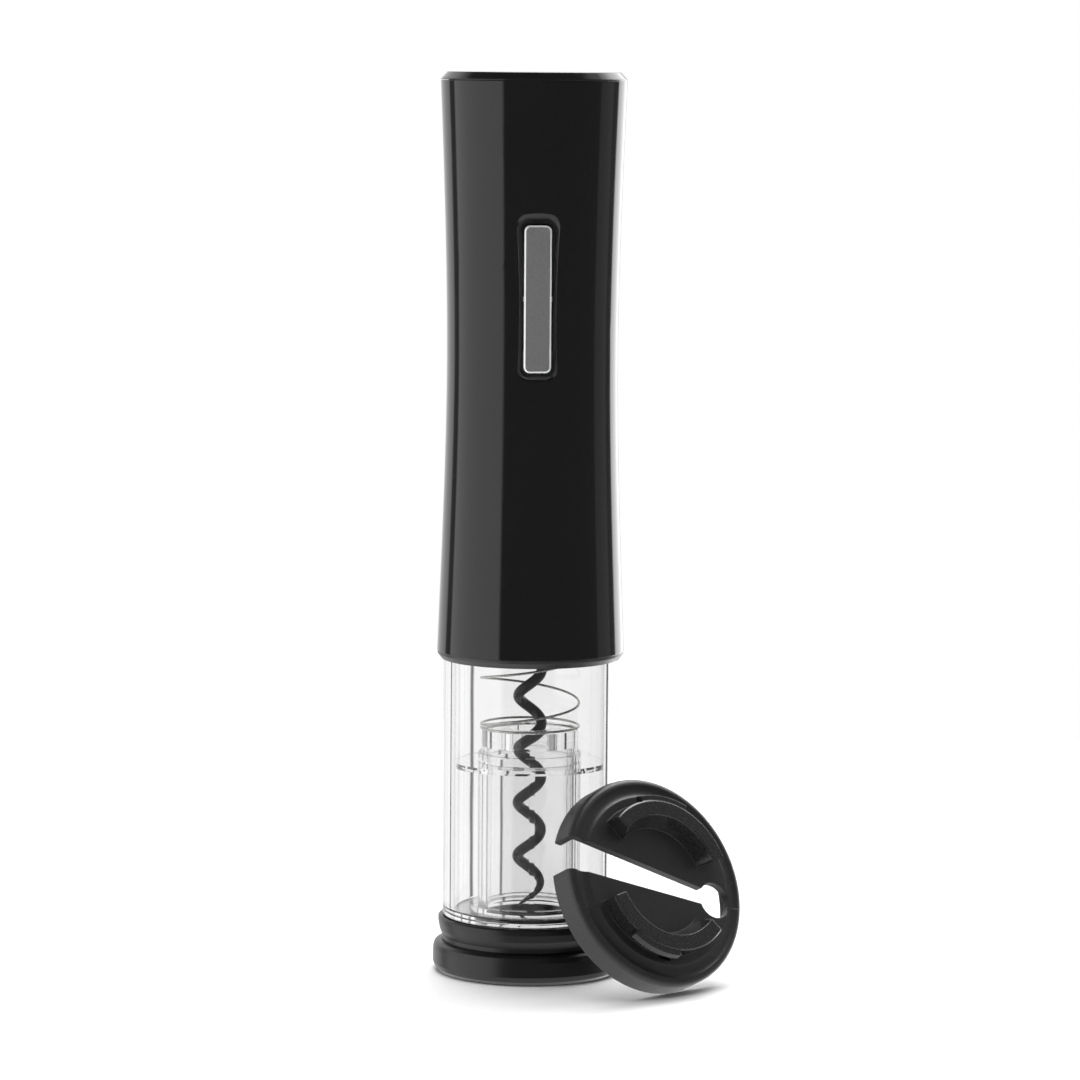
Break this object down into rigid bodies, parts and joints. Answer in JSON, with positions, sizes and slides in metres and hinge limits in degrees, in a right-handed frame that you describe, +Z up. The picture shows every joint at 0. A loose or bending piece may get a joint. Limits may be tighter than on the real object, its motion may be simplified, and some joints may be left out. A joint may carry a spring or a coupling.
{
  "type": "electric wine opener",
  "caption": "Cordless wine opener: waisted gloss housing, clear sleeve with a sprung cork guide round a worm, black foot, and a foil cutter leaning on it.",
  "frame": {"origin": "on the opener's axis, on the surface that it stands on, at the mouth of the bottle bore", "axes": "+Z up the opener's axis, the rocker button faces -Y, the foil cutter leans on the front right"},
  "size_m": [0.0878, 0.08, 0.26],
  "materials": {
    "gloss_black_abs": "polished mould finish",
    "satin_black_abs": "fine spark-eroded mould finish",
    "bezel_plastic": "satin",
    "clear_polycarbonate": "clear, polished",
    "rocker_silver": "satin silver paint",
    "foot_rubber": "matte",
    "coated_worm_steel": "non-stick coating",
    "spring_steel": "drawn wire",
    "screw_steel": "zinc plated",
    "gear_acetal": "moulded",
    "sintered_steel": "sintered",
    "bronze_bush": "sintered bronze",
    "inner_nylon": "moulded",
    "motor_steel": "plated",
    "motor_cap_nylon": "moulded",
    "contact_steel": "nickel plated",
    "circuit_board": "solder mask",
    "switch_plastic": "moulded",
    "cell_sleeve": "shrink sleeve",
    "cutter_steel": "ground edge"
  },
  "bodies": {
    "opener": {"front_shell": "gloss_black_abs", "rear_shell": "gloss_black_abs", "shell_screws": "screw_steel", "lower_bezel": "bezel_plastic", "clear_tube": "clear_polycarbonate", "base_collar": "satin_black_abs", "foot_ring": "satin_black_abs", "foot_pad": "foot_rubber", "chassis_frame": "inner_nylon", "gearbox_housing": "inner_nylon", "gearbox_cover": "inner_nylon", "output_bush": "bronze_bush", "gearbox_screws": "screw_steel", "motor_mount_plate": "motor_steel", "motor_mount_screws": "screw_steel", "motor_can": "motor_steel", "motor_end_cap": "motor_cap_nylon", "motor_terminals": "contact_steel", "switch_board": "circuit_board", "switch_down": "switch_plastic", "switch_up": "switch_plastic", "rocker_well": "inner_nylon", "rocker_pin": "screw_steel", "battery_holder": "inner_nylon", "battery_cell_1": "cell_sleeve", "battery_cell_2": "cell_sleeve", "battery_cell_3": "cell_sleeve", "battery_cell_4": "cell_sleeve", "lower_contacts": "contact_steel", "contact_springs": "contact_steel"},
    "worm_drive": {"worm": "coated_worm_steel", "worm_chuck": "sintered_steel", "carrier_2": "sintered_steel", "carrier_2_pins": "sintered_steel"},
    "planet_2a_body": {"planet_2a": "sintered_steel"},
    "planet_2b_body": {"planet_2b": "sintered_steel"},
    "planet_2c_body": {"planet_2c": "sintered_steel"},
    "first_carrier": {"carrier_1": "gear_acetal", "carrier_1_pins": "sintered_steel"},
    "planet_1a_body": {"planet_1a": "gear_acetal"},
    "planet_1b_body": {"planet_1b": "gear_acetal"},
    "planet_1c_body": {"planet_1c": "gear_acetal"},
    "motor_rotor": {"motor_shaft": "screw_steel", "sun_pinion": "sintered_steel"},
    "guide": {"cork_guide": "clear_polycarbonate", "guide_spring": "spring_steel"},
    "rocker": {"rocker_button": "rocker_silver"},
    "cap_carrier": {"cap_contact_disc": "inner_nylon", "cap_contacts": "contact_steel"},
    "cap": {"battery_cap": "gloss_black_abs"},
    "cutter": {"cutter_body": "satin_black_abs", "cutter_body_pins": "cutter_steel"},
    "cutter_upper_jaw": {"cutter_jaw": "satin_black_abs", "cutter_jaw_pins": "cutter_steel"},
    "wheel_1": {"cutter_wheel_1": "cutter_steel"},
    "wheel_2": {"cutter_wheel_2": "cutter_steel"},
    "wheel_3": {"cutter_wheel_3": "cutter_steel"},
    "wheel_4": {"cutter_wheel_4": "cutter_steel"}
  },
  "joints": [
    {"name": "worm_spin", "type": "hinge", "parent": "opener", "child": "worm_drive", "pos_m": [0, 0, 0.1], "axis": [0, 0, 1], "continuous": true},
    {"name": "first_carrier_spin", "type": "hinge", "parent": "opener", "child": "first_carrier", "pos_m": [0, 0, 0.1366], "axis": [0, 0, 1], "continuous": true},
    {"name": "motor_spin", "type": "hinge", "parent": "opener", "child": "motor_rotor", "pos_m": [0, 0, 0.1482], "axis": [0, 0, 1], "continuous": true},
    {"name": "planet_2a_spin", "type": "hinge", "parent": "worm_drive", "child": "planet_2a_body", "pos_m": [0.0081, 0, 0.1296], "axis": [0, 0, 1], "continuous": true},
    {"name": "planet_2b_spin", "type": "hinge", "parent": "worm_drive", "child": "planet_2b_body", "pos_m": [-0.00405, 0.00701, 0.1296], "axis": [0, 0, 1], "continuous": true},
    {"name": "planet_2c_spin", "type": "hinge", "parent": "worm_drive", "child": "planet_2c_body", "pos_m": [-0.00405, -0.00701, 0.1296], "axis": [0, 0, 1], "continuous": true},
    {"name": "planet_1a_spin", "type": "hinge", "parent": "first_carrier", "child": "planet_1a_body", "pos_m": [0.0081, 0, 0.1392], "axis": [0, 0, 1], "continuous": true},
    {"name": "planet_1b_spin", "type": "hinge", "parent": "first_carrier", "child": "planet_1b_body", "pos_m": [-0.00405, 0.00701, 0.1392], "axis": [0, 0, 1], "continuous": true},
    {"name": "planet_1c_spin", "type": "hinge", "parent": "first_carrier", "child": "planet_1c_body", "pos_m": [-0.00405, -0.00701, 0.1392], "axis": [0, 0, 1], "continuous": true},
    {"name": "guide_slide", "type": "slide", "parent": "opener", "child": "guide", "axis": [0, 0, 1], "range_m": [0, 0.045], "stiffness_N_per_m": 60, "springref_m": -0.02, "deforming": ["guide_spring"]},
    {"name": "rocker_tilt", "type": "hinge", "parent": "opener", "child": "rocker", "pos_m": [0, -0.0209, 0.1963], "axis": [1, 0, 0], "range_deg": [-4, 4], "stiffness_Nm_per_rad": 0.2},
    {"name": "cap_lift", "type": "slide", "parent": "opener", "child": "cap_carrier", "axis": [0, 0, 1], "range_m": [0, 0.03]},
    {"name": "cap_twist", "type": "hinge", "parent": "cap_carrier", "child": "cap", "pos_m": [0, 0, 0.2576], "axis": [0, 0, 1], "range_deg": [-30, 0]},
    {"name": "cutter_slide", "type": "slide", "parent": "opener", "child": "cutter", "axis": [0.7431, -0.6691, 0], "range_m": [0, 0.06]},
    {"name": "cutter_squeeze", "type": "hinge", "parent": "cutter", "child": "cutter_upper_jaw", "pos_m": [0.05568, -0.01935, 0.0213], "axis": [0.5445, -0.7122, 0.4431], "range_deg": [0, 5], "stiffness_Nm_per_rad": 4},
    {"name": "wheel_1_spin", "type": "hinge", "parent": "cutter", "child": "wheel_1", "pos_m": [0.04051, -0.03241, 0.0122], "axis": [0.5445, -0.7122, 0.4431], "continuous": true},
    {"name": "wheel_2_spin", "type": "hinge", "parent": "cutter", "child": "wheel_2", "pos_m": [0.02181, -0.04168, 0.02026], "axis": [0.5445, -0.7122, 0.4431], "continuous": true},
    {"name": "wheel_3_spin", "type": "hinge", "parent": "cutter_upper_jaw", "child": "wheel_3", "pos_m": [0.04283, -0.01431, 0.03842], "axis": [0.5445, -0.7122, 0.4431], "continuous": true},
    {"name": "wheel_4_spin", "type": "hinge", "parent": "cutter_upper_jaw", "child": "wheel_4", "pos_m": [0.02414, -0.02359, 0.04648], "axis": [0.5445, -0.7122, 0.4431], "continuous": true}
  ],
  "couplings": [
    {"joint": "first_carrier_spin", "follows": "worm_spin", "ratio": 6},
    {"joint": "motor_spin", "follows": "worm_spin", "ratio": 36},
    {"joint": "planet_2a_spin", "follows": "worm_spin", "ratio": -2.5},
    {"joint": "planet_2b_spin", "follows": "worm_spin", "ratio": -2.5},
    {"joint": "planet_2c_spin", "follows": "worm_spin", "ratio": -2.5},
    {"joint": "planet_1a_spin", "follows": "worm_spin", "ratio": -15},
    {"joint": "planet_1b_spin", "follows": "worm_spin", "ratio": -15},
    {"joint": "planet_1c_spin", "follows": "worm_spin", "ratio": -15}
  ]
}
